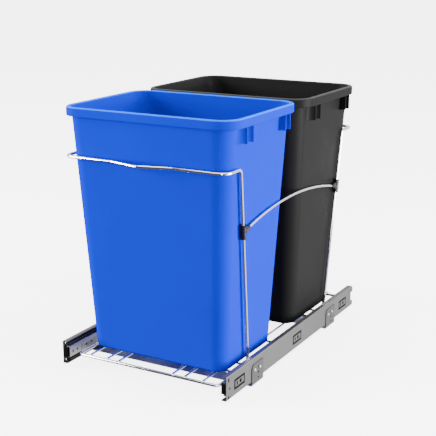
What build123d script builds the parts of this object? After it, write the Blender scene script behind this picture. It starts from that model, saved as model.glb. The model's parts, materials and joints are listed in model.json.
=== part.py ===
from build123d import *
import math
import os

os.makedirs("parts", exist_ok=True)

# Pull-out unit with two waste bins, in millimetres.
# X runs across, Y rearwards from the front ends of the slides, Z up from the floor.

# bins
bin_height = 454.0
body_bottom_width = 280.0
body_bottom_depth = 189.8
body_bottom_corner = 24.0
body_top_width = 325.8       # just under the rim
body_top_depth = 248.9
body_top_corner = 31.0
bottom_forward = 1.95        # the bottom's middle lies this far in front of the rim's middle
bin_wall = 2.5
bottom_round = 6.0
rim_reach_x = 13.1           # rim beyond the body on the short sides
rim_reach_y = 5.75           # and on the long sides
rim_corner = 40.0
rim_height = 16.3
lip_width = 8.0
lip_round = 3.4
throat_space = 1.0            # the throat's wall beyond the body at the rim's underside
under_lip = 3.5              # solid depth of the lip above the hollow under the rim
rib_thickness = 2.5
rib_length = 28.0            # below the rim
rib_inset = 1.0              # rib edge behind the rim's face
rib_sweep = 13.0             # length of the hollow curve on the rib's outer side
rib_root = 1.0               # the curve's end inside the body's face
rib_hollow = 0.3             # how far along the sweep the curve's middle lies
front_rib_places = (55.0, 77.0)   # from the rim's front face
rear_rib_places = (44.5, 61.5)    # from its rear face
bin_start = 14.9             # front bin's rim behind the slides' front ends
rim_gap = 11.6               # between the two rims
bin_rest_gap = 0.3           # under each bin

# wires of the pull-out frame
perimeter_wire = 5.6
long_wire = 4.0
cross_wire = 4.0
hoop_wire = 6.0
brace_wire = 5.0
perimeter_corner = 9.0
perimeter_drop = 5.0         # under the rails' middle
perimeter_setback = 1.5      # front wire behind the front bin's rim face
perimeter_rear_space = 9.8   # rear wire's middle to the slides' rear ends
foot_gap = 5.0               # between the hoops' feet and the bins
weld_depth = 0.5             # hoops' feet sunk round the perimeter wire
long_wire_places = (57.5, 82.5, 120.0)
cross_wire_places = (120.0, 241.0, 403.0, 441.0)

# hoops
hoop_drop = 43.5             # hoop's middle under the ribs
hoop_gap = 2.0               # between hoops and bins at the sides
front_hoop_gap = 6.2         # between the front bin and the front hoop
front_side_run = 50.5        # front wire to the front legs' tops
front_leg_lean = 59.2        # feet behind the tops
nose_width = 120.0           # the front wire's shallow V, between its bends
nose_reach = 16.0            # sharp point of the V in front of the straight stretches
nose_bend = 30.0
nose_point_bend = 40.0
rear_hoop_gap = 7.5          # between the rear bin and the rear hoop
rear_side_run = 50.4         # rear legs' tops to the rear wire
rear_leg_lean = 36.3         # feet in front of the tops
leg_bend = 8.0
hoop_corner = 19.0

# side braces and their clips
clip_drop = 112.6            # clips under the hoops
brace_rise = 24.0
brace_leg_gap = 2.0
clip_radius = 5.5
clip_length = 27.5
barrel_radius = 4.2
barrel_length = 14.5
gusset_thickness = 5.0
gusset_height = 17.0
gusset_tip_height = 5.0
gusset_setback = 2.0         # behind the barrel's end
notch_width = 8.0
notch_depth = 6.0
notch_start = 1.0            # notch outside the leg's middle
clip_round = 1.2

# slides
slide_length = 558.8
slide_bottom = 8.0
slide_height = 44.0
slide_thickness = 12.7
slide_side_gap = 10.25       # between the perimeter wire and the drawer rail
rail_sheet = 1.2
rail_bend = 1.8
flange_depth = 9.8
rail_lip = 1.2
travel = 546.1
roll_gap = 0.3               # clear space round balls and their cages
outer_ball = 4.0
inner_ball = 3.5
cage_sheet = 0.8
cage_length = 240.0
cage_end_gap = 1.0           # to the bumper when the slide is pulled out
balls_per_row = 7
ball_margin = 9.0
pocket_gap = 0.05
cage_tip_space = 0.6         # behind the lips or flange tips
inner_ball_offset = 1.0      # inner balls outside the drawer rail's middle
middle_front = 8.0
middle_setback = 1.9         # middle rail's flange tips behind the drawer rail's face
drawer_front = 4.5
stop_gap = 0.6               # between the sliding rails and the rear stop

# cabinet rail's pressed features
hole_line_drop = 1.5         # hole line under the rail's middle
slot_width = 2.0
end_slot_y = 7.9
end_slot_spread = 32.8
end_slot_length = 4.8
web_hole_radius = 2.2
front_hole_y = 12.0
lance_front = 29.0
lance_rear_space = 74.3      # last lance's front to the rail's rear end
lance_middle_shift = 5.2     # middle lance behind the others' middle
lance_length = 36.0
lance_height = 16.8
lance_cut = 1.6
tongue_slot = 9.6            # small slot behind the lance's front
tongue_slot_length = 5.0
tongue_hole = 22.0
rear_notch_depth = 9.5
rear_notch_low = 19.6
rear_notch_high = 38.7
rear_corner = 7.0
rear_bevel = 4.0
lower_flange_cut = 18.8
stop_depth = 8.0
stop_inset = 1.0

# drawer rail's holes, from its front end
drawer_holes = (9.9, 22.4, 50.6, 67.3)
drawer_hole_radius = 2.2
drawer_lance = 36.2
drawer_lance_length = 12.0

# bumpers at the middle rails' front ends
bumper_nose = 9.0
bumper_tongue = 12.0
bumper_clearance = 0.45
bumper_round = 1.0

# floor straps
strap_sheet = 1.5
strap_width = 43.0
strap_front = 91.5
strap_rear_space = 143.0     # rear strap's front edge to the slides' rear ends
strap_height = 40.5
strap_corner = 10.0
strap_bend = 2.5
strap_hole_radius = 2.0
strap_hole_y = 24.0
strap_hole_heights = (10.5, 20.5, 30.5)
strap_rivet_places = (12.4, 31.6)
strap_rivet_height = 27.5
rivet_radius = 1.6
rivet_head_radius = 2.9
rivet_head = 0.7
head_rounding = 0.7          # share of a head's height that is rounded
rivet_recess = 0.2           # shank's end inside the rail's web
rivet_gap = 0.05
floor_hole_radius = 2.5
floor_hole_x = 105.0
floor_hole_y = 34.0

# brackets between the perimeter wire and the drawer rails
bracket_places = (130.0, 290.0, 450.0)
bracket_width = 30.0
bracket_sheet = 1.5
bracket_top = 38.0
bracket_toe = 7.0            # bracket's foot past the perimeter wire's middle
bracket_bend = 2.5
bracket_rivet_radius = 2.0
bracket_rivet_head_radius = 3.5
bracket_rivet_head = 1.2
bracket_rivet_tail = 0.8
bracket_rivet_tail_radius = 2.8

# cuts run this far past the faces they open
overcut = 1.0
cut_past = 0.1               # the same through thin sheet beside other sheet

# worked out: heights
rail_z = slide_bottom + slide_height / 2
hole_line = rail_z - hole_line_drop
perimeter_z = rail_z - perimeter_drop
long_z = perimeter_z + (perimeter_wire + long_wire) / 2
cross_z = long_z - (long_wire + cross_wire) / 2
bin_bottom = long_z + long_wire / 2 + bin_rest_gap
rim_bottom = bin_bottom + bin_height - rim_height
rib_bottom = rim_bottom - rib_length
hoop_z = rib_bottom - hoop_drop
clip_z = hoop_z - clip_drop

# worked out: widths, half values on the right side
perimeter_x = body_bottom_width / 2 + foot_gap + hoop_wire / 2
drawer_face = perimeter_x + perimeter_wire / 2 + slide_side_gap
rail_face = drawer_face + slide_thickness
outer_inside = rail_face - rail_sheet
outer_cage_back = outer_inside - roll_gap
middle_face = outer_cage_back - cage_sheet - roll_gap
middle_inside = middle_face - rail_sheet
inner_cage_back = middle_inside - roll_gap
drawer_open = inner_cage_back - cage_sheet - roll_gap
rail_open = rail_face - flange_depth
middle_open = drawer_face + middle_setback
outer_cage_tip = rail_open + rail_sheet + cage_tip_space
inner_cage_tip = middle_open + cage_tip_space

# worked out: half heights of the rails and ball rows
outer_race = slide_height / 2 - rail_sheet
middle_half = outer_race - 2 * roll_gap - outer_ball
middle_race = middle_half - rail_sheet
drawer_half = middle_race - 2 * roll_gap - inner_ball
outer_row = (outer_race + middle_half) / 2
inner_row = (middle_race + drawer_half) / 2

# worked out: lengths
rim_width = body_top_width + 2 * rim_reach_x
rim_depth = body_top_depth + 2 * rim_reach_y
bin_pitch = rim_depth + rim_gap
front_bin_y = bin_start + rim_depth / 2
perimeter_front = bin_start + perimeter_setback
perimeter_rear = slide_length - perimeter_rear_space
rail_stop = slide_length - rear_notch_depth - rail_sheet
lance_rear = slide_length - lance_rear_space
lance_places = (lance_front, (lance_front + lance_rear) / 2 + lance_middle_shift, lance_rear)
strap_places = (strap_front, slide_length - strap_rear_space)
sliding_rear = rail_stop - stop_gap
cage_front = middle_front + bumper_tongue + travel / 4 + cage_end_gap


def around(middle, length):
    """Limits of a stretch about its middle."""
    return (middle - length / 2, middle + length / 2)


def block(x, y, z):
    """Box between two limits along each axis."""
    middle = [(low + high) / 2 for low, high in (x, y, z)]
    return Pos(*middle) * Box(abs(x[1] - x[0]), abs(y[1] - y[0]), abs(z[1] - z[0]))


def rod(start, end, radius):
    """Round bar from one point to another."""
    axis = Vector(*end) - Vector(*start)
    return extrude(Plane(origin=start, z_dir=axis) * Circle(radius), amount=axis.length)


def bent_wire(path, diameter):
    """Round wire along a path of straight stretches and arcs."""
    return sweep(Plane(origin=path @ 0, z_dir=path % 0) * Circle(diameter / 2), path=path)


def group(pieces):
    """Separate solids that share one name."""
    return Compound(children=list(pieces))


def left(shape):
    """The same piece on the left side."""
    return mirror(shape, about=Plane.YZ)


def body_half_width(z):
    """Half of a bin's width at a height above the floor."""
    share = (z - bin_bottom) / (rim_bottom - bin_bottom)
    return (body_bottom_width + (body_top_width - body_bottom_width) * share) / 2


def body_front(z):
    """Front wall of the front bin at a height above the floor."""
    share = (z - bin_bottom) / (rim_bottom - bin_bottom)
    depth = body_bottom_depth + (body_top_depth - body_bottom_depth) * share
    return front_bin_y - bottom_forward * (1 - share) - depth / 2


def body_rear(z):
    """Rear wall of the rear bin at a height above the floor."""
    share = (z - bin_bottom) / (rim_bottom - bin_bottom)
    depth = body_bottom_depth + (body_top_depth - body_bottom_depth) * share
    return front_bin_y + bin_pitch - bottom_forward * (1 - share) + depth / 2


def channel(back, opening, half_height, front, rear, lip=0.0):
    """C-section rail: its web's outer face at back, its flanges reaching to opening."""
    inward = math.copysign(1, opening - back)
    span = (front, rear)
    side = -1 if back > opening else 0
    shell = block((back, opening), span, (rail_z - half_height, rail_z + half_height))
    shell = fillet(shell.edges().filter_by(Axis.Y).group_by(Axis.X)[side], rail_bend)
    inside = half_height - rail_sheet
    cavity_end = opening - inward * rail_sheet if lip else opening + inward
    cavity = block((back + inward * rail_sheet, cavity_end), span, (rail_z - inside, rail_z + inside))
    cavity = fillet(cavity.edges().filter_by(Axis.Y).group_by(Axis.X)[side], rail_bend - rail_sheet)
    mouth = block(
        (back + inward * 2 * rail_sheet, opening + inward),
        span,
        (rail_z - inside + lip, rail_z + inside - lip),
    )
    return shell - cavity - mouth


def web_cut(y, z):
    """Rectangular opening through a right-hand cabinet rail's web."""
    return block((outer_inside - cut_past, rail_face + cut_past), y, z)


def web_hole(y, z, radius, inner=None, outer=None):
    """Round hole across the rails or straps on the right side."""
    inner = outer_inside - cut_past if inner is None else inner
    outer = rail_face + cut_past if outer is None else outer
    return rod((inner, y, z), (outer, y, z), radius)


def lance(front):
    """C-shaped cut that frees a tongue, with a small slot and a hole in the tongue."""
    low = hole_line - lance_height / 2
    high = hole_line + lance_height / 2
    rear = front + lance_length
    return (
        web_cut((front, front + slot_width), (low, high))
        + web_cut((front, rear), (low, low + lance_cut))
        + web_cut((front, rear), (high - lance_cut, high))
        + web_cut(around(front + tongue_slot, lance_cut), around(hole_line, tongue_slot_length))
        + web_hole(front + tongue_hole, hole_line, web_hole_radius)
    )


def cabinet_rail():
    """Outer slide member with its pressed features, right side."""
    top = slide_bottom + slide_height
    rail = channel(rail_face, rail_open, slide_height / 2, 0, slide_length, rail_lip)
    for front in lance_places:
        rail -= lance(front)
    for z in around(hole_line, end_slot_spread):
        rail -= web_cut(around(end_slot_y, slot_width), around(z, end_slot_length))
    rail -= web_hole(front_hole_y, hole_line, web_hole_radius)
    for start in strap_places:
        for y in strap_rivet_places:
            rail -= web_hole(start + y, strap_rivet_height, rivet_radius + rivet_gap)
        for z in strap_hole_heights:
            rail -= web_hole(start + strap_hole_y, z, strap_hole_radius)
    # rear end: notch, rounded top corner, bevelled lower tab, shortened lower flange
    notch_front = slide_length - rear_notch_depth
    behind = slide_length + overcut
    rail -= web_cut((notch_front, behind), (rear_notch_low, rear_notch_high))
    across = (rail_open - overcut, rail_face + overcut)
    corner = block(across, (slide_length - rear_corner, behind), (top - rear_corner, top + overcut))
    corner -= rod(
        (across[0], slide_length - rear_corner, top - rear_corner),
        (across[1], slide_length - rear_corner, top - rear_corner),
        rear_corner,
    )
    rail -= corner
    bevel = Plane.YZ * Polygon(
        (slide_length - rear_bevel, rear_notch_low),
        (slide_length, rear_notch_low),
        (slide_length, rear_notch_low - rear_bevel),
        align=None,
    )
    rail -= Pos(across[0], 0, 0) * extrude(bevel, amount=across[1] - across[0])
    rail -= block(
        (rail_open - overcut, rail_face - rail_bend),
        (slide_length - lower_flange_cut, behind),
        (slide_bottom - overcut, slide_bottom + rail_sheet + rail_lip + overcut),
    )
    stop = block(
        (outer_inside - stop_depth, outer_inside + rail_sheet / 2),
        (notch_front - rail_sheet, notch_front),
        (rear_notch_low + stop_inset, rear_notch_high - stop_inset),
    )
    return rail + stop


def middle_rail():
    """Middle slide member, right side."""
    return channel(middle_face, middle_open, middle_half, middle_front, sliding_rear)


def middle_bumper():
    """Plastic bumper on the front end of the middle member, right side."""
    inner = drawer_face + rail_sheet + bracket_rivet_tail + bumper_clearance
    half = drawer_half - rail_sheet - roll_gap
    heights = (rail_z - half, rail_z + half)
    nose = block((inner, middle_face), (middle_front - bumper_nose, middle_front), heights)
    nose = fillet(nose.edges().group_by(Axis.Y)[0], bumper_round)
    tongue = block((inner, middle_inside), (middle_front, middle_front + bumper_tongue), heights)
    return nose + tongue


def ball_rows(row, x):
    """Centres of the balls in a cage: a row above and a row below."""
    step = (cage_length - 2 * ball_margin) / (balls_per_row - 1)
    return [
        (x, cage_front + ball_margin + step * i, rail_z + side * row)
        for side in (-1, 1)
        for i in range(balls_per_row)
    ]


def ball_cage(back, tip, row, centres, diameter):
    """Thin C-section strip whose arms hold the balls in pockets."""
    half = row + cage_sheet / 2
    span = (cage_front, cage_front + cage_length)
    strip = block((tip, back), span, (rail_z - half, rail_z + half))
    inside = half - cage_sheet
    strip -= block((tip - overcut, back - cage_sheet), span, (rail_z - inside, rail_z + inside))
    for x, y, z in centres:
        strip -= rod((x, y, z - cage_sheet), (x, y, z + cage_sheet), diameter / 2 + pocket_gap)
    return strip


def drawer_rail():
    """Inner slide member that the pull-out frame hangs on, right side."""
    rail = channel(drawer_face, drawer_open, drawer_half, drawer_front, sliding_rear)
    inner = drawer_face - cut_past
    outer = drawer_face + rail_sheet + cut_past
    for offset in drawer_holes:
        for y in (drawer_front + offset, sliding_rear - offset):
            rail -= web_hole(y, hole_line, drawer_hole_radius, inner, outer)
    for y in (drawer_front + drawer_lance, sliding_rear - drawer_lance):
        rail -= block((inner, outer), around(y, lance_cut), around(hole_line, drawer_lance_length))
    for y in bracket_places:
        rail -= web_hole(y, rail_z, bracket_rivet_radius + rivet_gap, inner, outer)
    return rail


def floor_strap(start):
    """Flat strap on the floor with an upturned end outside each rail."""
    outside = rail_face + strap_sheet
    span = (start, start + strap_width)
    strap = block((-outside, outside), span, (0, strap_height))
    strap = fillet(strap.edges().filter_by(Axis.Y).group_by(Axis.Z)[0], strap_bend)
    cavity = block((-rail_face, rail_face), span, (strap_sheet, strap_height + overcut))
    cavity = fillet(cavity.edges().filter_by(Axis.Y).group_by(Axis.Z)[0], strap_bend - strap_sheet)
    strap -= cavity
    strap = fillet(
        strap.edges().filter_by(Axis.X).group_by(Axis.Z)[-1].group_by(Axis.Y)[0],
        strap_corner,
    )
    for side in (-1, 1):
        for y in strap_rivet_places:
            strap -= rod(
                (side * (rail_face - cut_past), start + y, strap_rivet_height),
                (side * (outside + cut_past), start + y, strap_rivet_height),
                rivet_radius + rivet_gap,
            )
        for z in strap_hole_heights:
            strap -= rod(
                (side * (rail_face - cut_past), start + strap_hole_y, z),
                (side * (outside + cut_past), start + strap_hole_y, z),
                strap_hole_radius,
            )
        strap -= rod(
            (side * floor_hole_x, start + floor_hole_y, -cut_past),
            (side * floor_hole_x, start + floor_hole_y, strap_sheet + cut_past),
            floor_hole_radius,
        )
    return strap


def strap_rivet(y):
    """Rivet with a low head outside, right side."""
    outside = rail_face + strap_sheet
    inner = outer_inside + rivet_recess
    face = (outside, y, strap_rivet_height)
    shank = rod((inner, y, strap_rivet_height), face, rivet_radius)
    head = rod(face, (outside + rivet_head, y, strap_rivet_height), rivet_head_radius)
    head = fillet(head.edges().group_by(Axis.X)[-1], rivet_head * head_rounding)
    return shank + head


def frame_bracket(y):
    """Angle that carries the perimeter wire and hangs on the drawer rail, right side."""
    seat = perimeter_z - perimeter_wire / 2
    span = around(y, bracket_width)
    angle = block((perimeter_x - bracket_toe, drawer_face), span, (seat - bracket_sheet, bracket_top))
    angle = fillet(angle.edges().filter_by(Axis.Y).sort_by(Axis.X)[-2:].sort_by(Axis.Z)[0], bracket_bend)
    inside = block(
        (perimeter_x - bracket_toe - overcut, drawer_face - bracket_sheet),
        span,
        (seat, bracket_top + overcut),
    )
    angle -= inside
    return angle - rod(
        (drawer_face - bracket_sheet - cut_past, y, rail_z),
        (drawer_face + cut_past, y, rail_z),
        bracket_rivet_radius + rivet_gap,
    )


def bracket_rivet(y):
    """Rivet through a bracket and the drawer rail, right side."""
    face = drawer_face - bracket_sheet
    end = drawer_face + rail_sheet
    head = rod((face - bracket_rivet_head, y, rail_z), (face, y, rail_z), bracket_rivet_head_radius)
    head = fillet(head.edges().group_by(Axis.X)[0], bracket_rivet_head * head_rounding)
    shank = rod((face, y, rail_z), (end, y, rail_z), bracket_rivet_radius)
    tail = rod((end, y, rail_z), (end + bracket_rivet_tail, y, rail_z), bracket_rivet_tail_radius)
    return head + shank + tail


def perimeter():
    """Wire loop round the base of the frame."""
    width = 2 * perimeter_x
    depth = perimeter_rear - perimeter_front
    middle_y = (perimeter_front + perimeter_rear) / 2
    loop = Pos(0, middle_y, perimeter_z) * RectangleRounded(width, depth, perimeter_corner)
    path = loop.wire()
    return sweep(Plane(origin=path @ 0, z_dir=path % 0) * Circle(perimeter_wire / 2), path=path)


def long_wires():
    """Six wires from front to rear that carry the bins."""
    ends = (perimeter_front - perimeter_wire / 4, perimeter_rear + perimeter_wire / 4)
    return [
        rod((side * x, ends[0], long_z), (side * x, ends[1], long_z), long_wire / 2)
        for x in long_wire_places
        for side in (-1, 1)
    ]


def cross_wires():
    """Wires from side to side under the long ones."""
    end = perimeter_x - perimeter_wire / 2
    return [rod((-end, y, cross_z), (end, y, cross_z), cross_wire / 2) for y in cross_wire_places]


hoop_x = body_half_width(hoop_z) + hoop_gap + hoop_wire / 2
front_wire_y = body_front(hoop_z) - front_hoop_gap - hoop_wire / 2
front_top_y = front_wire_y + front_side_run
front_foot_y = front_top_y + front_leg_lean
rear_wire_y = body_rear(hoop_z) + rear_hoop_gap + hoop_wire / 2
rear_top_y = rear_wire_y - rear_side_run
rear_foot_y = rear_top_y - rear_leg_lean
foot_z = perimeter_z + perimeter_wire / 2 - weld_depth


def leg_point(foot_y, top_y, z):
    """Point on the middle line of a right-hand leg at a height above the floor."""
    share = (z - foot_z) / (hoop_z - foot_z)
    return (perimeter_x + (hoop_x - perimeter_x) * share, foot_y + (top_y - foot_y) * share, z)


def front_hoop():
    """Front wire: two legs, short side runs and a front run with a shallow V."""
    right = [
        leg_point(front_foot_y, front_top_y, foot_z),
        (hoop_x, front_top_y, hoop_z),
        (hoop_x, front_wire_y, hoop_z),
        (nose_width / 2, front_wire_y, hoop_z),
    ]
    point = (0, front_wire_y - nose_reach, hoop_z)
    bends = [leg_bend, hoop_corner, nose_bend]
    route = right + [point] + [(-x, y, z) for x, y, z in reversed(right)]
    path = FilletPolyline(*route, radius=bends + [nose_point_bend] + bends[::-1])
    return bent_wire(path, hoop_wire) - perimeter()


def rear_hoop():
    """Rear wire: two legs, short side runs and a straight rear run."""
    right = [
        leg_point(rear_foot_y, rear_top_y, foot_z),
        (hoop_x, rear_top_y, hoop_z),
        (hoop_x, rear_wire_y, hoop_z),
    ]
    route = right + [(-x, y, z) for x, y, z in reversed(right)]
    bends = [leg_bend, hoop_corner]
    path = FilletPolyline(*route, radius=bends + bends[::-1])
    return bent_wire(path, hoop_wire) - perimeter()


clip_front = Vector(*leg_point(front_foot_y, front_top_y, clip_z))
clip_rear = Vector(*leg_point(rear_foot_y, rear_top_y, clip_z))
brace_x = clip_front.X
brace_inset = (hoop_wire + brace_wire) / 2 + brace_leg_gap
brace_middle = (clip_front.Y + clip_rear.Y) / 2
brace_path = ThreePointArc(
    (brace_x, clip_front.Y + brace_inset, clip_z),
    (brace_x, brace_middle, clip_z + brace_rise),
    (brace_x, clip_rear.Y - brace_inset, clip_z),
)


def brace():
    """Arched wire between the front and rear legs, right side."""
    return bent_wire(brace_path, brace_wire)


def clip(foot_y, top_y, middle, end, heading):
    """Sleeve round a leg with a side barrel for the brace's end, right side."""
    rise = Vector(*leg_point(foot_y, top_y, hoop_z)) - Vector(*leg_point(foot_y, top_y, foot_z))
    along = rise.normalized()
    low = middle - along * (clip_length / 2)
    high = middle + along * (clip_length / 2)
    sleeve = rod(low, high, clip_radius)
    sleeve = fillet(sleeve.edges().group_by(Axis.Z)[0], clip_round)
    tip = end + heading * barrel_length
    barrel = rod(end - heading * brace_leg_gap, tip, barrel_radius)
    flank = Plane.YZ * Polygon(
        (middle.Y, middle.Z + gusset_height / 2),
        (middle.Y, middle.Z - gusset_height / 2),
        (tip.Y - heading.Y * gusset_setback, tip.Z - gusset_tip_height / 2),
        (tip.Y - heading.Y * gusset_setback, tip.Z + gusset_tip_height / 2),
        align=None,
    )
    gusset = Pos(brace_x, 0, 0) * extrude(flank, amount=gusset_thickness / 2, both=True)
    body = sleeve + barrel + gusset
    notch = Plane.YZ * Polygon(
        (high.Y, high.Z - notch_depth),
        (high.Y + notch_width, high.Z + notch_depth),
        (high.Y - notch_width, high.Z + notch_depth),
        align=None,
    )
    body -= Pos(middle.X + notch_start, 0, 0) * extrude(notch, amount=2 * clip_radius)
    body -= rod(low - along * overcut, high + along * overcut, hoop_wire / 2)
    return body - brace()


def rim_outline(inset, z):
    """The rim's outline, set in by a distance, at a height above the bin's bottom."""
    return Pos(0, 0, z) * RectangleRounded(rim_width - 2 * inset, rim_depth - 2 * inset, rim_corner - inset)


def body_outline(inset, z):
    """The body's outline, set in by a wall, at a height above the bin's bottom."""
    share = z / (bin_height - rim_height)
    width = body_bottom_width + (body_top_width - body_bottom_width) * share
    depth = body_bottom_depth + (body_top_depth - body_bottom_depth) * share
    corner = body_bottom_corner + (body_top_corner - body_bottom_corner) * share
    middle = -bottom_forward * (1 - share)
    return Pos(0, middle, z) * RectangleRounded(width - 2 * inset, depth - 2 * inset, corner - inset)


def rib(y, outward):
    """Upright plate under the rim on the right side, with a hollow curve on one face."""
    start = body_top_width / 2 - 2 * bin_wall
    edge = rim_width / 2 - rib_inset
    face = y + outward * rib_thickness / 2
    root = body_top_width / 2 - rib_root
    far = face + outward * rib_sweep
    hollow = (edge + root * 2) / 3
    outline = [
        Line((start, y - outward * rib_thickness / 2), (edge, y - outward * rib_thickness / 2)),
        Line((edge, y - outward * rib_thickness / 2), (edge, face)),
        ThreePointArc((edge, face), (hollow, face + outward * rib_sweep * rib_hollow), (root, far)),
        Line((root, far), (start, far)),
        Line((start, far), (start, y - outward * rib_thickness / 2)),
    ]
    base = Pos(0, 0, bin_height - rim_height - rib_length) * make_face(outline)
    return extrude(base, amount=rib_length)


def waste_bin():
    """Tapered bin with a turned rim, its bottom's height at zero and its rim's middle on the axis."""
    top = bin_height - rim_height
    body = loft([body_outline(0, 0), body_outline(0, top)], ruled=True)
    body = fillet(body.edges().group_by(Axis.Z)[0], bottom_round)
    rim = extrude(rim_outline(0, top), amount=rim_height)
    rim = fillet(rim.edges().group_by(Axis.Z)[-1], lip_round)
    skirt = extrude(rim_outline(bin_wall, top), amount=rim_height - under_lip)
    throat_top = rim_outline(lip_width - bin_wall, bin_height)
    throat = loft([body_outline(-throat_space, top), throat_top], ruled=True)
    shell = body + (rim - (skirt - throat))
    for end, places in ((-1, front_rib_places), (1, rear_rib_places)):
        for place in places:
            plate = rib(end * (rim_depth / 2 - place), end)
            shell += plate
            shell += mirror(plate, about=Plane.YZ)
    inside = loft([body_outline(bin_wall, bin_wall), body_outline(bin_wall, top)], ruled=True)
    inside = fillet(inside.edges().group_by(Axis.Z)[0], bottom_round - bin_wall)
    mouth = loft([body_outline(bin_wall, top), rim_outline(lip_width, bin_height)], ruled=True)
    return shell - inside - mouth


def place_bin(shape, number):
    """A bin stood on the long wires, the first at the front."""
    return Pos(0, front_bin_y + number * bin_pitch, bin_bottom) * shape


outer_ball_x = (middle_face + rail_open) / 2
inner_ball_x = (drawer_open + drawer_face) / 2 + inner_ball_offset
outer_centres = ball_rows(outer_row, outer_ball_x)
inner_centres = ball_rows(inner_row, inner_ball_x)
nose_tip = front_hoop().bounding_box().min.Y
origin_y = (nose_tip + slide_length) / 2


def save(name, shape):
    """Write one piece, with the origin under the middle of the whole length."""
    export_step(Pos(0, -origin_y, 0) * shape, f"parts/{name}.step")


def save_pair(name, shape):
    """Write a right-hand piece and its mirror image."""
    save(f"{name}_right", shape)
    save(f"{name}_left", left(shape))


save_pair("cabinet_rail", cabinet_rail())
save_pair("middle_rail", middle_rail())
save_pair("middle_bumper", middle_bumper())
save_pair("drawer_rail", drawer_rail())
save_pair("outer_ball_cage", ball_cage(outer_cage_back, outer_cage_tip, outer_row, outer_centres, outer_ball))
save_pair("inner_ball_cage", ball_cage(inner_cage_back, inner_cage_tip, inner_row, inner_centres, inner_ball))
save_pair("outer_balls", group(Pos(*centre) * Sphere(outer_ball / 2) for centre in outer_centres))
save_pair("inner_balls", group(Pos(*centre) * Sphere(inner_ball / 2) for centre in inner_centres))

save("floor_strap_front", floor_strap(strap_places[0]))
save("floor_strap_rear", floor_strap(strap_places[1]))
right_rivets = [strap_rivet(start + y) for start in strap_places for y in strap_rivet_places]
save("strap_rivets", group(right_rivets + [left(rivet) for rivet in right_rivets]))

right_brackets = [frame_bracket(y) for y in bracket_places]
save("frame_brackets", group(right_brackets + [left(bracket) for bracket in right_brackets]))
right_rivets = [bracket_rivet(y) for y in bracket_places]
save("bracket_rivets", group(right_rivets + [left(rivet) for rivet in right_rivets]))
save("perimeter_wire", perimeter())
save("long_wires", group(long_wires()))
save("cross_wires", group(cross_wires()))
save("front_hoop", front_hoop())
save("rear_hoop", rear_hoop())
save_pair("brace", brace())
save_pair("clip_front", clip(front_foot_y, front_top_y, clip_front, brace_path @ 0, brace_path % 0))
save_pair("clip_rear", clip(rear_foot_y, rear_top_y, clip_rear, brace_path @ 1, -(brace_path % 1)))

bin_shape = waste_bin()
save("bin_front", place_bin(bin_shape, 0))
save("bin_rear", place_bin(bin_shape, 1))
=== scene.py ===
import bmesh
import bpy
import json
import math
from mathutils import Matrix, Vector


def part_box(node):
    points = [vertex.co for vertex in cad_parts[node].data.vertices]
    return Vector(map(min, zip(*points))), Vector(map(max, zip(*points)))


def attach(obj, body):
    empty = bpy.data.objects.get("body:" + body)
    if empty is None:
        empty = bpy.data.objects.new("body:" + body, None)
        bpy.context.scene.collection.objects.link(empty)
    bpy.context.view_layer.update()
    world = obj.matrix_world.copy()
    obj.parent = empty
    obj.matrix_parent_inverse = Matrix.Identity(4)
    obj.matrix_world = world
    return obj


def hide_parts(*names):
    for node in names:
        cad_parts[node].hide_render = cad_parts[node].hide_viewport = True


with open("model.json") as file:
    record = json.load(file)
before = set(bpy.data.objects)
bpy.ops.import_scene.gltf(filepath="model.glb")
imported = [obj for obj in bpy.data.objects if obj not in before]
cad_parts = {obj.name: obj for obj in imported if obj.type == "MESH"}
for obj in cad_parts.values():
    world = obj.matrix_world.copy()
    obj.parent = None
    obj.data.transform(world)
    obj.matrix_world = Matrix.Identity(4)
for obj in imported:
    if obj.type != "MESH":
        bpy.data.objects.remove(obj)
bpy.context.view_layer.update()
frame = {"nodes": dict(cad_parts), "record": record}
print("frame loaded:", len(frame["nodes"]), "pieces")

cameraSettings = {
    "place": (0.9385, -1.6513, 0.7502),
    "tilt": 75.088,  # degrees up from looking straight down
    "turn": 29.616,  # degrees towards -X
    "roll": 0.133,
    "lens": 83.1,
    "sensor": 36,
    "clip": (0.05, 80),
}


def addCamera():
    lens = bpy.data.cameras.new("photoCamera")
    lens.lens = cameraSettings["lens"]
    lens.sensor_width = cameraSettings["sensor"]
    lens.clip_start, lens.clip_end = cameraSettings["clip"]
    camera = bpy.data.objects.new("photoCamera", lens)
    turn = Matrix.Rotation(math.radians(cameraSettings["turn"]), 4, "Z")
    tilt = Matrix.Rotation(math.radians(cameraSettings["tilt"]), 4, "X")
    roll = Matrix.Rotation(math.radians(-cameraSettings["roll"]), 4, "Z")
    camera.matrix_world = Matrix.Translation(cameraSettings["place"]) @ turn @ tilt @ roll
    bpy.context.scene.collection.objects.link(camera)
    bpy.context.scene.camera = camera


addCamera()
print("camera placed")


class Signal:  # an output socket that can stand in sums
    def __init__(self, maker, socket):
        self.maker = maker
        self.socket = socket

    def __add__(self, other):
        return self.maker.maths("ADD", self, other)

    def __radd__(self, other):
        return self.maker.maths("ADD", other, self)

    def __sub__(self, other):
        return self.maker.maths("SUBTRACT", self, other)

    def __rsub__(self, other):
        return self.maker.maths("SUBTRACT", other, self)

    def __mul__(self, other):
        return self.maker.maths("MULTIPLY", self, other)

    def __rmul__(self, other):
        return self.maker.maths("MULTIPLY", other, self)

    def __abs__(self):
        return self.maker.maths("ABSOLUTE", self)


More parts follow.
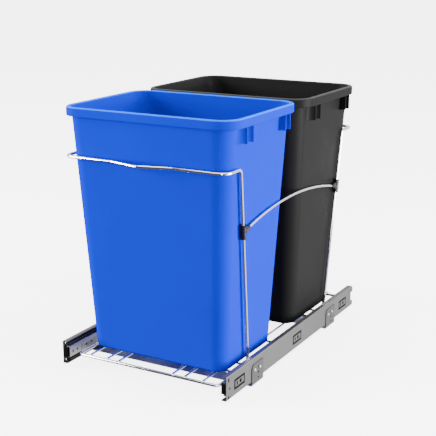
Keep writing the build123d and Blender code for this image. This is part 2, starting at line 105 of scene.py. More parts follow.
class Maker:  # adds nodes to one tree
    def __init__(self, tree):
        self.tree = tree

    def feed(self, socket, value):
        if isinstance(value, Signal):
            self.tree.links.new(value.socket, socket)
        else:
            socket.default_value = value

    def node(self, kind, settings=None, output=0, **values):
        made = self.tree.nodes.new(kind)
        for key, value in (settings or {}).items():
            setattr(made, key, value)
        for key, value in values.items():  # i3 is input 3, Base_Color the input of that name
            place = int(key[1:]) if key[1:].isdigit() else key.replace("_", " ")
            self.feed(made.inputs[place], value)
        return Signal(self, made.outputs[output])

    def maths(self, operation, first, second=0):
        return self.node("ShaderNodeMath", {"operation": operation}, i0=first, i1=second)

    def mask(self, value, low, high):  # 0 at low and 1 at high, eased
        easing = {"interpolation_type": "SMOOTHSTEP"}
        return self.node("ShaderNodeMapRange", easing, i0=value, i1=low, i2=high)


class Finish(Maker):  # one material
    def __init__(self, name):
        self.material = bpy.data.materials.new(name)
        self.material.use_nodes = True
        super().__init__(self.material.node_tree)
        self.tree.nodes.clear()

    def noise(self, scale, detail=2.0, stretch=(1, 1, 1), roughness=0.5):
        place = self.node("ShaderNodeTexCoord", output=3)
        place = self.node("ShaderNodeMapping", i0=place, i3=stretch)
        return self.node(
            "ShaderNodeTexNoise", i0=place, Scale=scale, Detail=detail, Roughness=roughness
        )

    def metresAlong(self, axis):  # 0, 1 or 2 for X, Y or Z
        place = self.node("ShaderNodeTexCoord", output=3)
        return self.node("ShaderNodeSeparateXYZ", output=axis, i0=place)

    def blend(self, share, low, high):  # mixes two colours
        kind = {"data_type": "RGBA"}
        return self.node("ShaderNodeMix", kind, output=2, i0=share, i6=low, i7=high)

    def bump(self, height, strength, distance, under=None):
        extra = {"Normal": under} if under else {}
        return self.node(
            "ShaderNodeBump", Height=height, Strength=strength, Distance=distance, **extra
        )

    def close(self, **values):
        shader = self.node("ShaderNodeBsdfPrincipled", **values)
        end = self.tree.nodes.new("ShaderNodeOutputMaterial")
        self.tree.links.new(shader.socket, end.inputs[0])
        return self.material


def tinted(colour, factor):
    return (*(min(1.0, part * factor) for part in colour), 1)


plasticSettings = {
    "cloud": {"scale": 9.0, "detail": 3},
    "cloudDepth": 0.07,  # how far the colour wanders
    "cloudHaze": 0.06,  # and the roughness
    "scuff": {"scale": 160.0, "detail": 4, "stretch": (1, 1, 0.05), "roughness": 0.6},
    "scuffEdge": (0.60, 0.74),
    "scuffStrength": 0.12,
    "scuffPolish": 0.05,
    "flow": {"scale": 34.0, "stretch": (1, 1, 0.3)},
    "flowHeight": 0.0008,
    "grain": {"scale": 1500.0},
    "grainHeight": 0.0002,
    "bumpStrength": 0.10,
    "lipBand": (0.0022, 0.00066),  # below a rim's top, where the painted lip highlight begins and is full
    "lipWander": 0.0004,
    "lipHighlightStrength": 0.85,
    "lipPolish": 0.08,
}


def mouldedPlastic(name, colour, scuffColour, roughness, gloss, lipHighlightColour=None):
    make = Finish(name)
    look = plasticSettings
    cloud = make.noise(**look["cloud"])
    depth = look["cloudDepth"]
    body = make.blend(cloud, tinted(colour, 1 - depth), tinted(colour, 1 + depth))
    scuffs = make.mask(make.noise(**look["scuff"]), *look["scuffEdge"])
    body = make.blend(scuffs * look["scuffStrength"], body, (*scuffColour, 1))
    lipHighlightAndPolish = 0.0
    if lipHighlightColour:  # painted highlight: a rim's top edge is painted pale, and its roughness is lowered
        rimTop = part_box("bin_front")[1].z
        start, full = [rimTop - drop for drop in look["lipBand"]]
        lipHighlightAndPolish = make.mask(make.metresAlong(2) + cloud * look["lipWander"], start, full)
        body = make.blend(lipHighlightAndPolish * look["lipHighlightStrength"], body, (*lipHighlightColour, 1))
    grain = make.noise(**look["grain"])
    flow = make.noise(**look["flow"])
    normal = make.bump(flow, look["bumpStrength"], look["flowHeight"])
    normal = make.bump(grain, look["bumpStrength"], look["grainHeight"], normal)
    wear = cloud * look["cloudHaze"] - scuffs * look["scuffPolish"] - lipHighlightAndPolish * look["lipPolish"]
    return make.close(
        Base_Color=body, Roughness=roughness + wear, Specular_IOR_Level=gloss, Normal=normal
    )


steelSettings = {
    "streak": {"scale": 420, "detail": 3, "roughness": 0.6},
    "streakShare": 0.5,  # the rest of the colour follows the patches
    "patch": {"scale": 16, "detail": 4},
    "mottle": {"scale": 180, "detail": 3},
    "patchHaze": 0.08,
    "mottleHaze": 0.06,
    "hazeMiddle": 0.07,
    "streakBump": 0.06,
    "mottleBump": 0.05,
    "bumpHeight": 0.0002,
    "footTop": (0.004, 0.002),  # the painted bluish reflection fades in between these heights
    "footReflectionColour": (0.30, 0.32, 0.60, 1),
    "slotShadeColour": (0.0005, 0.0005, 0.0005, 1),
}


def platedSteel(
    name, low, high, roughness, streakAlong=(1, 0.03, 1), metallic=1.0, blueReflectionFoot=False, slotShade=None
):
    make = Finish(name)
    look = steelSettings
    streaks = make.noise(stretch=streakAlong, **look["streak"])
    patches = make.noise(**look["patch"])
    mottle = make.noise(**look["mottle"])
    share = look["streakShare"]
    body = make.blend(streaks * share + patches * (1 - share), (*low, 1), (*high, 1))
    if blueReflectionFoot:  # painted reflection: the flat part on the floor is painted lighter and bluish, as the blue bin's reflection
        foot = make.mask(make.metresAlong(2), *look["footTop"])
        body = make.blend(foot, body, look["footReflectionColour"])
    if slotShade:  # painted shade: dark bands along the lanced slots' edges stand in for the shadow inside them
        body = make.blend(slotShade(make), body, look["slotShadeColour"])
    normal = make.bump(streaks, look["streakBump"], look["bumpHeight"])
    normal = make.bump(mottle, look["mottleBump"], look["bumpHeight"], normal)
    haze = patches * look["patchHaze"] + mottle * look["mottleHaze"] - look["hazeMiddle"]
    return make.close(
        Base_Color=body, Metallic=metallic, Roughness=roughness + haze, Normal=normal
    )


railSettings = {
    "holeDrop": 0.0015,  # the holes' line below the rail's middle
    "lanceFronts": (0.0290, 0.26195, 0.4845),
    "lanceLength": 0.036,
    "lanceHeight": 0.0168,
    "cut": 0.0016,
    "tongueSlot": (0.0096, 0.0025),  # place behind the lance's front, half height
    "tongueHole": (0.022, 0.0022),
    "endSlots": (0.0079, 0.0164, 0.0024),  # place, distance from the holes' line, half height
    "shade": (0.0019, 0.0009),  # the painted shade fades in between these distances from the cut edges
}


def slotShadeMask(make):  # 1 at a cabinet rail's cut edges, 0 away from them; where the painted shade goes
    low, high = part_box("cabinet_rail_right")
    size = railSettings
    along = make.metresAlong(1) - low.y
    up = make.metresAlong(2) - ((low.z + high.z) / 2 - size["holeDrop"])
    half = size["cut"] / 2

    def boxGap(middle, halfSize):  # how far outside a box in the rail's plane
        beside = abs(along - middle[0]) - halfSize[0]
        above = abs(up - middle[1]) - halfSize[1]
        return make.maths("MAXIMUM", beside, above)

    gaps = []
    length, height = size["lanceLength"], size["lanceHeight"]
    for front in size["lanceFronts"]:
        outline = boxGap((front + length / 2, 0), (length / 2 - half, height / 2 - half))
        rear = along - (front + length)
        gaps.append(make.maths("MAXIMUM", abs(outline) - half, rear))  # open at its rear
        place, reach = size["tongueSlot"]
        gaps.append(boxGap((front + place, 0), (half, reach)))
        place, reach = size["tongueHole"]
        gaps.append(boxGap((front + place, 0), (reach, reach)))
    place, spread, reach = size["endSlots"]
    for side in (-spread, spread):
        gaps.append(boxGap((place, side), (half, reach)))
    nearest = gaps[0]
    for gap in gaps[1:]:
        nearest = make.maths("MINIMUM", nearest, gap)
    return make.mask(nearest, *size["shade"])


chromeSettings = {
    "haze": {"scale": 70, "detail": 3},
    "hazeRoughness": 0.08,
    "hazeBump": (0.05, 0.0004),  # strength, height
    "colours": ((0.84, 0.85, 0.91, 1), (0.93, 0.93, 0.97, 1)),
    "pit": {"scale": 900},
    "pitEdge": (0.68, 0.75),
    "pitStrength": 0.4,
    "pitColour": (0.45, 0.45, 0.48, 1),
    "pitRoughness": 0.15,
    "roughness": 0.05,
}


def brightChrome(name):
    make = Finish(name)
    look = chromeSettings
    haze = make.noise(**look["haze"])
    pits = make.mask(make.noise(**look["pit"]), *look["pitEdge"])
    body = make.blend(haze, *look["colours"])
    body = make.blend(pits * look["pitStrength"], body, look["pitColour"])
    dull = haze * look["hazeRoughness"] + pits * look["pitRoughness"]
    return make.close(
        Base_Color=body,
        Metallic=1.0,
        Roughness=look["roughness"] + dull,
        Normal=make.bump(haze, *look["hazeBump"]),
    )


def grey(level):
    return (level, level, level)


# colour, scuffs' colour, roughness, gloss, lip's painted highlight colour
bluePlastic = mouldedPlastic(
    "bluePlastic", (0.0, 0.010, 0.42), (0.0, 0.01, 0.50), 0.36, 0.0, (0.004, 0.13, 0.95)
)
blackPlastic = mouldedPlastic("blackPlastic", grey(0.009), grey(0.013), 0.42, 0.025, grey(0.035))
clipPlastic = mouldedPlastic("clipPlastic", (0.003, 0.003, 0.004), grey(0.02), 0.34, 0.4)
bumperPlastic = mouldedPlastic("bumperPlastic", grey(0.002), grey(0.01), 0.45, 0.05)
chromePlate = brightChrome("chromePlate")
# the streaks' two colours, roughness
railZinc = platedSteel("railZinc", grey(0.105), (0.15, 0.15, 0.148), 0.45, metallic=0.9)
# the strap's floor-level part gets a painted bluish reflection
strapZinc = platedSteel(
    "strapZinc", grey(0.085), (0.12, 0.12, 0.118), 0.42, (0.03, 1, 1), 0.9, blueReflectionFoot=True
)
# painted shade: the middle rails are made dark so the rails' insides and lance slots read as shade
greasedSteel = platedSteel(
    "greasedSteel", (0.055, 0.055, 0.058), (0.095, 0.095, 0.098), 0.42, metallic=0.9
)
# painted light: a brighter copy of the rail zinc for the drawer rails, standing in for light on
# their shaded inner faces
innerZinc = platedSteel("innerZinc", (0.34, 0.34, 0.36), (0.46, 0.46, 0.48), 0.4)
# painted shade: the ball cages are made dark as the shade inside the rails
cageStrip = platedSteel("cageStrip", (0.02, 0.02, 0.022), (0.05, 0.05, 0.055), 0.35)
rivetZinc = platedSteel("rivetZinc", (0.55, 0.55, 0.56), grey(0.7), 0.25, (1, 1, 1))
ballSteel = platedSteel("ballSteel", (0.5, 0.5, 0.52), (0.7, 0.7, 0.72), 0.15, (1, 1, 1))
# the cabinet rails' zinc, with painted shade along the lance slots
lancedZinc = platedSteel(
    "lancedZinc", grey(0.11), (0.16, 0.16, 0.158), 0.45, metallic=0.9, slotShade=slotShadeMask
)
slotFinishes = {
    "blue_plastic": bluePlastic,
    "black_plastic": blackPlastic,
    "clip_plastic": clipPlastic,
    "bumper_plastic": bumperPlastic,
    "chrome_wire": chromePlate,
    "ball_steel": ballSteel,
    "cage_steel": cageStrip,
    "middle_steel": greasedSteel,
    "rivet_steel": rivetZinc,
    "strap_steel": strapZinc,
    "rail_steel": railZinc,
}
railFinishes = {"drawer_rail": innerZinc, "cabinet_rail": lancedZinc}


def dressCadPieces():
    for entry in frame["record"]["subparts"]:
        piece = frame["nodes"][entry["node"]]
        piece.data.materials.clear()
        finish = slotFinishes[entry["material_slot"]]
        for start, railFinish in railFinishes.items():
            if entry["node"].startswith(start):
                finish = railFinish
        piece.data.materials.append(finish)


dressCadPieces()
print("finishes set")


def addPiece(name, mesh, node, body):
    # a finished mesh becomes a piece, which may stand for one CAD node
    piece = bpy.data.objects.new(name, mesh)
    bpy.context.scene.collection.objects.link(piece)
    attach(piece, body)
    if node:
        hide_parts(node)


binShape = {
    "bottom": (0.1400, 0.0949, 0.024),  # half width, half depth, corner
    "top": (0.1629, 0.12445, 0.031),  # the same under the rim
    "bottomForward": 0.00195,
    "leastCorner": 0.002,
    "wall": 0.0025,
    "bottomRound": 0.006,
    "rimHeight": 0.0163,
    "rimCorner": 0.040,
    "skirtEase": (0.0005, 0.0007),  # across and up, on the skirt's lower edges
    "lipWidth": 0.008,
    "lipRound": 0.0034,
    "innerRound": 0.0016,  # lip's inner edge
    "innerTurn": 75,  # degrees
    "underLip": 0.0035,
    "underLipRound": 0.0008,
    "throatSpace": 0.001,
    "throatEase": 0.0004,
    "flareDepth": 0.022,  # how far the mouth's flare reaches down
    "sharpAngle": 35,
}
binRows = {
    "cornerSteps": 16,
    "straightShares": (0.02, 0.08, 0.3, 0.5, 0.7, 0.92, 0.98),
    "floorInsets": (0.07, 0.04, 0.022),
    "roundSteps": 8,
    "innerSteps": 5,
    "flareSteps": 10,
    "outside": (0.03, 0.1, 0.25, 0.4, 0.55, 0.7, 0.85, 0.95, 0.995),
    "inside": (0.04, 0.2, 0.4, 0.6, 0.8, 0.96, 0.995),
}
ribShape = {
    "thickness": 0.0025,
    "length": 0.028,
    "intoRim": 0.001,
    "intoWall": 0.0016,
    "edgeInset": 0.001,
    "sweep": 0.013,
    "root": 0.001,
    "hollow": 0.75,
    "sweepPower": 1.35,
    "curveSteps": 10,
    "front": (0.0550, 0.0770),  # from the rim's front face
    "rear": (0.0445, 0.0615),  # from its rear face
    "edgeRound": 0.0004,
    "roundSegments": 2,
    "roundOver": 0.7,  # edges sharper than this many radians are rounded
}


def outlineRing(halfWidth, halfDepth, corner, middleY, height):
    # points of a rounded rectangle, anticlockwise from above
    points = []
    steps = binRows["cornerSteps"]
    for number, (sideX, sideY) in enumerate([(1, -1), (1, 1), (-1, 1), (-1, -1)]):
        centre = Vector((sideX * (halfWidth - corner), sideY * (halfDepth - corner)))
        start = math.radians(-90 + 90 * number)
        arc = []
        for step in range(steps + 1):
            angle = start + math.radians(90) * step / steps
            arc.append(centre + corner * Vector((math.cos(angle), math.sin(angle))))
        if points:
            points += straightPoints(points[-1], arc[0])
        points += arc
    points += straightPoints(points[-1], points[0])
    return [Vector((point.x, point.y + middleY, height)) for point in points]


def straightPoints(start, end):
    return [start.lerp(end, share) for share in binRows["straightShares"]]


def bodyRing(inset, height, top):
    # the tapered body's outline, set in by a distance
    share = height / top
    sizes = [low + (high - low) * share for low, high in zip(binShape["bottom"], binShape["top"])]
    middleY = -binShape["bottomForward"] * (1 - share)
    corner = max(sizes[2] - inset, binShape["leastCorner"])
    return outlineRing(sizes[0] - inset, sizes[1] - inset, corner, middleY, height)


def rimRing(rimSize, inset, height):
    corner = binShape["rimCorner"] - inset
    return outlineRing(rimSize[0] / 2 - inset, rimSize[1] / 2 - inset, corner, 0, height)


def mixedRing(first, second, share):
    return [a.lerp(b, share) for a, b in zip(first, second)]


def arcSteps(steps, turn=90):  # sine and cosine at each step of an arc
    angles = [math.radians(turn * step / steps) for step in range(steps + 1)]
    return [(math.sin(angle), math.cos(angle)) for angle in angles]


def outsideRings(top):
    # from the bottom's middle up to the rim
    rings = [bodyRing(inset, 0, top) for inset in binRows["floorInsets"]]
    radius = binShape["bottomRound"]
    for sine, cosine in arcSteps(binRows["roundSteps"]):
        rings.append(bodyRing(radius * (1 - sine), radius * (1 - cosine), top))
    for share in binRows["outside"]:
        rings.append(bodyRing(0, radius + (top - radius) * share, top))
    return rings + [bodyRing(0, top - binShape["throatEase"], top)]


def skirtRings(rimSize, top):
    # up the throat under the rim, and down and round the skirt
    wall, underRound = binShape["wall"], binShape["underLipRound"]
    across, up = binShape["skirtEase"]
    throatStart = bodyRing(-binShape["throatSpace"], top, top)
    throatTop = rimRing(rimSize, binShape["lipWidth"] - wall, rimSize[2])
    ceiling = 1 - binShape["underLip"] / binShape["rimHeight"]
    rings = [mixedRing(throatStart, throatTop, share) for share in (0, ceiling * 0.5, ceiling)]
    skirt = rimSize[2] - binShape["underLip"]
    for inset, level in (
        (wall + underRound, skirt),
        (wall, skirt - underRound),
        (wall, top + up),
        (wall - across, top),
        (across, top),
        (0, top + up),
    ):
        rings.append(rimRing(rimSize, inset, level))
    return rings


def lipRings(rimSize):
    # over the rim's outer and inner edges
    height = rimSize[2]
    outer, inner, width = binShape["lipRound"], binShape["innerRound"], binShape["lipWidth"]
    rings = []
    for sine, cosine in arcSteps(binRows["roundSteps"]):
        rings.append(rimRing(rimSize, outer * (1 - cosine), height - outer * (1 - sine)))
    rings.append(rimRing(rimSize, (outer + width - inner) / 2, height))
    for sine, cosine in arcSteps(binRows["innerSteps"], binShape["innerTurn"]):
        inset = width - inner + inner * sine
        rings.append(rimRing(rimSize, inset, height - inner * (1 - cosine)))
    return rings


def insideRings(lipEnd, height, top):
    # down the flared mouth and the inside wall to the floor's middle
    wall = binShape["wall"]
    rings = []
    start, end = lipEnd[0].z, height - binShape["flareDepth"]
    for step in range(1, binRows["flareSteps"] + 1):
        share = step / binRows["flareSteps"]
        level = start + (end - start) * share
        outer = [Vector((point.x, point.y, level)) for point in lipEnd]
        rings.append(mixedRing(outer, bodyRing(wall, level, top), 1 - (1 - share) ** 2))
    radius = binShape["bottomRound"] - wall
    floorEdge = wall + radius
    for share in binRows["inside"]:
        rings.append(bodyRing(wall, end + (floorEdge - end) * share, top))
    for sine, cosine in arcSteps(binRows["roundSteps"]):
        rings.append(bodyRing(wall + radius * (1 - cosine), floorEdge - radius * sine, top))
    return rings + [bodyRing(inset, wall, top) for inset in reversed(binRows["floorInsets"])]


def binRings(rimSize):
    top = rimSize[2] - binShape["rimHeight"]
    rings = outsideRings(top) + skirtRings(rimSize, top) + lipRings(rimSize)
    return rings + insideRings(rings[-1], rimSize[2], top)


def ribOutline(rimSize, end, place):
    # one rib's section seen from above, on the right side
    size = ribShape
    middle = end * (rimSize[1] / 2 - place)
    half = end * size["thickness"] / 2
    start = binShape["top"][0] - size["intoWall"]
    edge = rimSize[0] / 2 - size["edgeInset"]
    root = binShape["top"][0] - size["root"]
    sweep = end * size["sweep"]
    points = [(start, middle - half), (edge, middle - half)]
    for step in range(size["curveSteps"] + 1):
        share = step / size["curveSteps"]
        inward = min(1, share + size["hollow"] * share * (1 - share))
        away = sweep * share ** size["sweepPower"]
        points.append((edge + (root - edge) * inward, middle + half + away))
    points.append((start, middle + half + sweep))
    return points


def ribPlates(rimSize):
    plates = []
    for end, places in ((-1, ribShape["front"]), (1, ribShape["rear"])):
        for place in places:
            for side in (-1, 1):
                outline = [(side * x, y) for x, y in ribOutline(rimSize, end, place)]
                plates.append(outline if side * end > 0 else outline[::-1])
    return plates


def addRib(build, outline, low, high):
    lower = [build.verts.new((x, y, low)) for x, y in outline]
    upper = [build.verts.new((x, y, high)) for x, y in outline]
    faces = [build.faces.new(lower[::-1]), build.faces.new(upper)]
    faces += joinRows(build, lower, upper)
    edges = {edge for face in faces for edge in face.edges}
    sharp = [edge for edge in edges if edge.calc_face_angle(0) > ribShape["roundOver"]]
    radius, segments = ribShape["edgeRound"], ribShape["roundSegments"]
    bmesh.ops.bevel(build, geom=sharp, offset=radius, segments=segments, affect="EDGES")


def joinRows(build, lower, upper):
    # a band of faces between two closed rows of points
    faces = []
    for number in range(len(lower)):
        after = (number + 1) % len(lower)
        corners = (lower[number], lower[after], upper[after], upper[number])
        faces.append(build.faces.new(corners))
    return faces


def makeBin(name, node, body, finish):
    low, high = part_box(node)
    rimSize = high - low
    build = bmesh.new()
    rows = [[build.verts.new(point) for point in ring] for ring in binRings(rimSize)]
    for lower, upper in zip(rows, rows[1:]):
        joinRows(build, lower, upper)
    build.faces.new(rows[0][::-1])
    build.faces.new(rows[-1])
    top = rimSize.z - binShape["rimHeight"]
    for outline in ribPlates(rimSize):
        addRib(build, outline, top - ribShape["length"], top + ribShape["intoRim"])
    bmesh.ops.triangulate(build, faces=[face for face in build.faces if len(face.verts) > 4])
    middle = (low + high) / 2
    bmesh.ops.translate(build, verts=build.verts, vec=(middle.x, middle.y, low.z))
    mesh = bpy.data.meshes.new(name)
    build.to_mesh(mesh)
    build.free()
    mesh.materials.append(finish)
    mesh.shade_smooth()
    mesh.set_sharp_from_angle(angle=math.radians(binShape["sharpAngle"]))
    addPiece(name, mesh, node, body)


makeBin("blueBin", "bin_front", "front_bin", bluePlastic)
makeBin("blackBin", "bin_rear", "rear_bin", blackPlastic)
print("bins moulded")


def newTree(name, sockets):
    # an empty geometry tree with the named inputs
    tree = bpy.data.node_groups.new(name, "GeometryNodeTree")
    tree.interface.new_socket("Geometry", in_out="INPUT", socket_type="NodeSocketGeometry")
    tree.interface.new_socket("Geometry", in_out="OUTPUT", socket_type="NodeSocketGeometry")
    for label, kind in sockets.items():
        tree.interface.new_socket(label, in_out="INPUT", socket_type="NodeSocket" + kind)
    entry = tree.nodes.new("NodeGroupInput")
    make = Maker(tree)
    return make, {socket.name: Signal(make, socket) for socket in entry.outputs if socket.name}


def closeTree(make, shape, finish):
    shape = make.node("GeometryNodeRealizeInstances", i0=shape)
    shape = make.node("GeometryNodeSetMaterial", Geometry=shape, Material=finish)
    end = make.tree.nodes.new("NodeGroupOutput")
    make.tree.links.new(shape.socket, end.inputs[0])
    return make.tree


def wireTree():
    # bends a line of points into a round wire
    sockets = {"Wire Radius": "Float", "Bend Steps": "Int", "Sides": "Int", "Finish": "Material"}
    make, given = newTree("bentWire", sockets)
    line = make.node("GeometryNodeMeshToCurve", i0=given["Geometry"])
    bend = make.node("GeometryNodeInputNamedAttribute", {"data_type": "FLOAT"}, Name="bend")
    line = make.node(
        "GeometryNodeFilletCurve",
        {"mode": "POLY"},
        Curve=line,
        Count=given["Bend Steps"],
        Radius=bend,
        Limit_Radius=True,
    )
    section = make.node(
        "GeometryNodeCurvePrimitiveCircle", Resolution=given["Sides"], Radius=given["Wire Radius"]
    )
    tube = make.node("GeometryNodeCurveToMesh", Curve=line, Profile_Curve=section, Fill_Caps=True)
    tube = make.node("GeometryNodeSetShadeSmooth", Geometry=tube, Shade_Smooth=True)
    return closeTree(make, tube, given["Finish"])


def beadTree():
    # sets a flattened drop of weld at every point
    sockets = {"Bead Radius": "Float", "Flatness": "Float", "Size Spread": "Float"}
    make, given = newTree("weldBeads", {**sockets, "Finish": "Material"})
    radius, detail = given["Bead Radius"], weldSettings["subdivisions"]
    bead = make.node("GeometryNodeMeshIcoSphere", Radius=radius, Subdivisions=detail)
    bead = make.node("GeometryNodeSetShadeSmooth", Geometry=bead, Shade_Smooth=True)
    spread = make.node(
        "FunctionNodeRandomValue",
        {"data_type": "FLOAT"},
        output=1,
        i2=1 - given["Size Spread"],
        i3=1.0,
        Seed=weldSettings["seed"],
    )
    size = make.node("ShaderNodeCombineXYZ", X=spread, Y=spread, Z=given["Flatness"])
    spots = make.node(
        "GeometryNodeInstanceOnPoints", Points=given["Geometry"], Instance=bead, Scale=size
    )
    return closeTree(make, spots, given["Finish"])


def grow(tree, name, points, edges, bends, values):
    # runs a tree on a line of points and returns the plain mesh
    seed = bpy.data.meshes.new(name + "Line")
    seed.from_pydata(points, edges, [])
    if bends:
        seed.attributes.new("bend", "FLOAT", "POINT").data.foreach_set("value", bends)
    carrier = bpy.data.objects.new(name + "Line", seed)
    bpy.context.scene.collection.objects.link(carrier)
    modifier = carrier.modifiers.new("grow", "NODES")
    modifier.node_group = tree
    for item in tree.interface.items_tree:
        if item.in_out == "INPUT" and item.name in values:
            modifier[item.identifier] = values[item.name]
    graph = bpy.context.evaluated_depsgraph_get()
    mesh = bpy.data.meshes.new_from_object(carrier.evaluated_get(graph))
    mesh.name = name
    carrier.modifiers.remove(modifier)
    bpy.data.objects.remove(carrier)
    return mesh


def lineData(routes):
    # joins routes of (point, bend) into one mesh's points, edges and bends
    points, edges, bends = [], [], []
    for route, closed in routes:
        first = len(points)
        points += [point for point, bend in route]
        bends += [bend for point, bend in route]
        edges += [(first + number, first + number + 1) for number in range(len(route) - 1)]
        if closed:
            edges.append((len(points) - 1, first))
    return points, edges, bends


wireSettings = {
    "bendSteps": 14,
    "braceSteps": 64,
    "sides": 24,
    "perimeterCorner": 0.009,
    "longPlaces": (0.0575, 0.0825, 0.1200),
    "crossSteps": (0.0, 0.121, 0.283, 0.321),  # from the first cross wire
}
hoopSettings = {
    "radius": 0.003,
    "noseWidth": 0.120,
    "noseReach": 0.016,
    "noseBend": 0.030,
    "nosePointBend": 0.040,
    "corner": 0.019,
    "legBend": 0.008,
    "frontSideRun": 0.0505,
    "frontLegLean": 0.0592,
    "rearSideRun": 0.0504,
    "rearLegLean": 0.0363,
    "footSink": 0.0005,  # into the base loop's top
    "legEnd": 0.002,  # below the foot's middle
    "clipDrop": 0.1126,
    "braceInset": 0.0075,
    "braceRise": 0.024,
}
weldSettings = {
    "radius": 0.0029,
    "flatness": 0.55,
    "spread": 0.25,
    "footRadius": 0.0042,
    "footFlatness": 0.5,
    "subdivisions": 3,
    "seed": 7,
}


def wireFacts():
    # sizes and levels of the wires, read from the CAD pieces they stand for
    facts = {}
    low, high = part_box("perimeter_wire")
    facts["rimRadius"] = (high.z - low.z) / 2
    toMiddle = Vector((1, 1, 1)) * facts["rimRadius"]
    facts["rimLow"], facts["rimHigh"] = low + toMiddle, high - toMiddle
    low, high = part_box("long_wires")
    facts["longRadius"], facts["longZ"] = (high.z - low.z) / 2, (high.z + low.z) / 2
    facts["longEnds"] = (low.y, high.y)
    low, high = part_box("cross_wires")
    facts["crossRadius"], facts["crossZ"] = (high.z - low.z) / 2, (high.z + low.z) / 2
    facts["crossEnds"] = (low.x, high.x)
    facts["crossY"] = [low.y + facts["crossRadius"] + step for step in wireSettings["crossSteps"]]
    low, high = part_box("brace_right")
    facts["braceRadius"] = (high.x - low.x) / 2
    low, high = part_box("front_hoop")
    radius = hoopSettings["radius"]
    slope = math.atan(hoopSettings["noseReach"] / (hoopSettings["noseWidth"] / 2))
    pointCut = hoopSettings["nosePointBend"] * (1 / math.cos(slope) - 1)
    facts["hoopX"], facts["hoopZ"] = high.x - radius, high.z - radius
    frontY = low.y + radius + hoopSettings["noseReach"] - pointCut
    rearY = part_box("rear_hoop")[1].y - radius
    # each hoop's wire, how far its sides run and how far its legs lean, all along Y
    facts["front"] = (frontY, hoopSettings["frontSideRun"], hoopSettings["frontLegLean"])
    facts["rear"] = (rearY, -hoopSettings["rearSideRun"], -hoopSettings["rearLegLean"])
    facts["footZ"] = facts["rimHigh"].z + facts["rimRadius"] - hoopSettings["footSink"]
    return facts


facts = wireFacts()


def legPlace(wireY, run, lean, height):
    # a point on a right leg's middle line
    share = (height - facts["footZ"]) / (facts["hoopZ"] - facts["footZ"])
    topY, footX = wireY + run, facts["rimHigh"].x
    return Vector((footX + (facts["hoopX"] - footX) * share, topY + lean * (1 - share), height))


def hoopRoute(wireY, run, lean, nose):
    x, height = facts["hoopX"], facts["hoopZ"]
    right = [
        (legPlace(wireY, run, lean, facts["footZ"] - hoopSettings["legEnd"]), 0),
        (Vector((x, wireY + run, height)), hoopSettings["legBend"]),
        (Vector((x, wireY, height)), hoopSettings["corner"]),
    ]
    middle = []
    if nose:
        side = Vector((hoopSettings["noseWidth"] / 2, wireY, height))
        right.append((side, hoopSettings["noseBend"]))
        tip = Vector((0, wireY - hoopSettings["noseReach"], height))
        middle = [(tip, hoopSettings["nosePointBend"])]
    left = [(Vector((-point.x, point.y, point.z)), bend) for point, bend in reversed(right)]
    return right + middle + left


def braceRoute(side):
    # chord, rise and tangents of the arch between the clips
    height = facts["hoopZ"] - hoopSettings["clipDrop"]
    front = legPlace(*facts["front"], height)
    rear = legPlace(*facts["rear"], height)
    start, end = front.y + hoopSettings["braceInset"], rear.y - hoopSettings["braceInset"]
    half, rise = (end - start) / 2, hoopSettings["braceRise"]
    radius = (half * half + rise * rise) / (2 * rise)
    apex = half * math.tan(math.asin(half / radius))
    x = side * front.x
    return [
        (Vector((x, start, height)), 0),
        (Vector((x, (start + end) / 2, height + apex)), radius),
        (Vector((x, end, height)), 0),
    ]


def baseRoutes():
    low, high, corner = facts["rimLow"], facts["rimHigh"], wireSettings["perimeterCorner"]
    corners = ((low.x, low.y), (high.x, low.y), (high.x, high.y), (low.x, high.y))
    loop = [(Vector((x, y, low.z)), corner) for x, y in corners]
    longOnes, crossOnes = [], []
    for x in longSides():
        ends = [(Vector((x, y, facts["longZ"])), 0) for y in facts["longEnds"]]
        longOnes.append((ends, False))
    for y in facts["crossY"]:
        ends = [(Vector((x, y, facts["crossZ"])), 0) for x in facts["crossEnds"]]
        crossOnes.append((ends, False))
    return [(loop, True)], longOnes, crossOnes


def longSides():  # the long wires' places, in pairs
    return [side * place for place in wireSettings["longPlaces"] for side in (-1, 1)]


def addWire(tree, name, node, routes, radius, steps=wireSettings["bendSteps"]):
    values = {
        "Wire Radius": radius,
        "Bend Steps": steps,
        "Sides": wireSettings["sides"],
        "Finish": chromePlate,
    }
    mesh = grow(tree, name, *lineData(routes), values)
    addPiece(name, mesh, node, "pull_out_frame")


def makeWires():
    tree = wireTree()
    loop, longOnes, crossOnes = baseRoutes()
    front, rear = hoopRoute(*facts["front"], True), hoopRoute(*facts["rear"], False)
    addWire(tree, "frontHoop", "front_hoop", [(front, False)], hoopSettings["radius"])
    addWire(tree, "rearHoop", "rear_hoop", [(rear, False)], hoopSettings["radius"])
    addWire(tree, "baseLoop", "perimeter_wire", loop, facts["rimRadius"])
    addWire(tree, "longWires", "long_wires", longOnes, facts["longRadius"])
    addWire(tree, "crossWires", "cross_wires", crossOnes, facts["crossRadius"])
    for side, label in ((1, "right"), (-1, "left")):
        route, steps = [(braceRoute(side), False)], wireSettings["braceSteps"]
        addWire(tree, label + "Brace", "brace_" + label, route, facts["braceRadius"], steps)


def addWelds(tree, name, places, radius, flatness):
    values = {
        "Bead Radius": radius,
        "Flatness": flatness,
        "Size Spread": weldSettings["spread"],
        "Finish": chromePlate,
    }
    mesh = grow(tree, name, places, [], None, values)
    addPiece(name, mesh, None, "pull_out_frame")


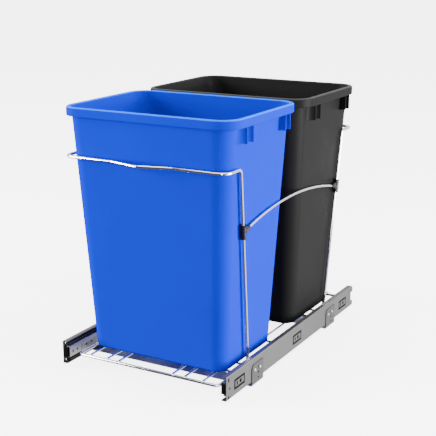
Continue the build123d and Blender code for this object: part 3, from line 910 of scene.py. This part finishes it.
def makeWelds():
    tree = beadTree()
    touching = facts["longZ"] - facts["longRadius"]
    rimYs = (facts["rimLow"].y, facts["rimHigh"].y)
    places = []
    for x in longSides():
        places += [Vector((x, y, touching)) for y in facts["crossY"]]
    for x in facts["crossEnds"]:
        places += [Vector((x, y, facts["crossZ"])) for y in facts["crossY"]]
    for x in longSides():
        places += [Vector((x, y, touching)) for y in rimYs]
    addWelds(tree, "baseWelds", places, weldSettings["radius"], weldSettings["flatness"])
    feet = []
    for hoop in (facts["front"], facts["rear"]):
        foot = legPlace(*hoop, facts["footZ"])
        feet += [foot, Vector((-foot.x, foot.y, foot.z))]
    addWelds(tree, "footWelds", feet, weldSettings["footRadius"], weldSettings["footFlatness"])


makeWires()
makeWelds()
print("wires bent and welded")

studioSettings = {
    "floorSize": 60.0,
    "floorDrop": 0.0005,
    "floorColour": (0.8, 0.8, 0.8, 1),
    "floorRoughness": 0.9,
    "floorGlow": 4.5,
    "skyBright": 1.5,  # the white sweep behind and beside the object
    "skyDark": 0.10,  # the unlit side of the studio, by the camera
    "skySide": (0.30, 0.85, 0.35),  # the way to the sweep's middle
    "skyEdge": (-0.30, 0.15),
}
lampSettings = {  # place, height aimed at, size, watts
    "rightSoftbox": ((2.6, 0.5, 0.45), 0.25, (1.6, 1.6), 370),
    "topSoftbox": ((0, -0.7, 2.6), 0.2, (2.4, 2.4), 50),
    "leftSoftbox": ((-2.7, -2.0, 0.9), 0.25, (2.2, 1.8), 440),
    "cornerSoftbox": ((1.6, -2.5, 0.6), 0.25, (0.5, 1.6), 40),
}


def addLamp(name, place, aimHeight, size, power):
    data = bpy.data.lights.new(name, "AREA")
    data.shape = "RECTANGLE"
    data.size, data.size_y = size
    data.energy = power
    lamp = bpy.data.objects.new(name, data)
    lamp.location = place
    aim = Vector((0, 0, aimHeight)) - Vector(place)
    lamp.rotation_euler = aim.to_track_quat("-Z", "Y").to_euler()
    bpy.context.scene.collection.objects.link(lamp)


def addFloor():
    mesh = bpy.data.meshes.new("studioFloor")
    half = studioSettings["floorSize"] / 2
    corners = [(-half, -half, 0), (half, -half, 0), (half, half, 0), (-half, half, 0)]
    mesh.from_pydata(corners, [], [(0, 1, 2, 3)])
    mesh.materials.append(Finish("studioFloor").close(
        Base_Color=studioSettings["floorColour"],
        Roughness=studioSettings["floorRoughness"],
        Emission_Color=(1, 1, 1, 1),
        Emission_Strength=studioSettings["floorGlow"],
    ))
    floor = bpy.data.objects.new("studioFloor", mesh)
    floor.location.z = -studioSettings["floorDrop"]
    bpy.context.scene.collection.objects.link(floor)
    floor.visible_glossy = False  # keeps the glowing floor out of the chrome and off the bins
    floor.visible_diffuse = False


def setSky():
    world = bpy.data.worlds.new("studioSky")
    world.use_nodes = True
    make = Maker(world.node_tree)
    way, side = make.node("ShaderNodeTexCoord"), studioSettings["skySide"]
    dot = {"operation": "DOT_PRODUCT"}
    toSweep = make.node("ShaderNodeVectorMath", dot, output=1, i0=way, i1=side)
    share = make.mask(toSweep, *studioSettings["skyEdge"])
    dark, bright = studioSettings["skyDark"], studioSettings["skyBright"]
    background = world.node_tree.nodes["Background"]
    background.inputs[0].default_value = (1, 1, 1, 1)
    seen = make.node("ShaderNodeLightPath") * studioSettings["floorGlow"]  # behind the floor's edge
    make.feed(background.inputs[1], share * (bright - dark) + dark + seen)
    bpy.context.scene.world = world


addFloor()
setSky()
for lampName, lampValues in lampSettings.items():
    addLamp(lampName, *lampValues)
print("studio set")
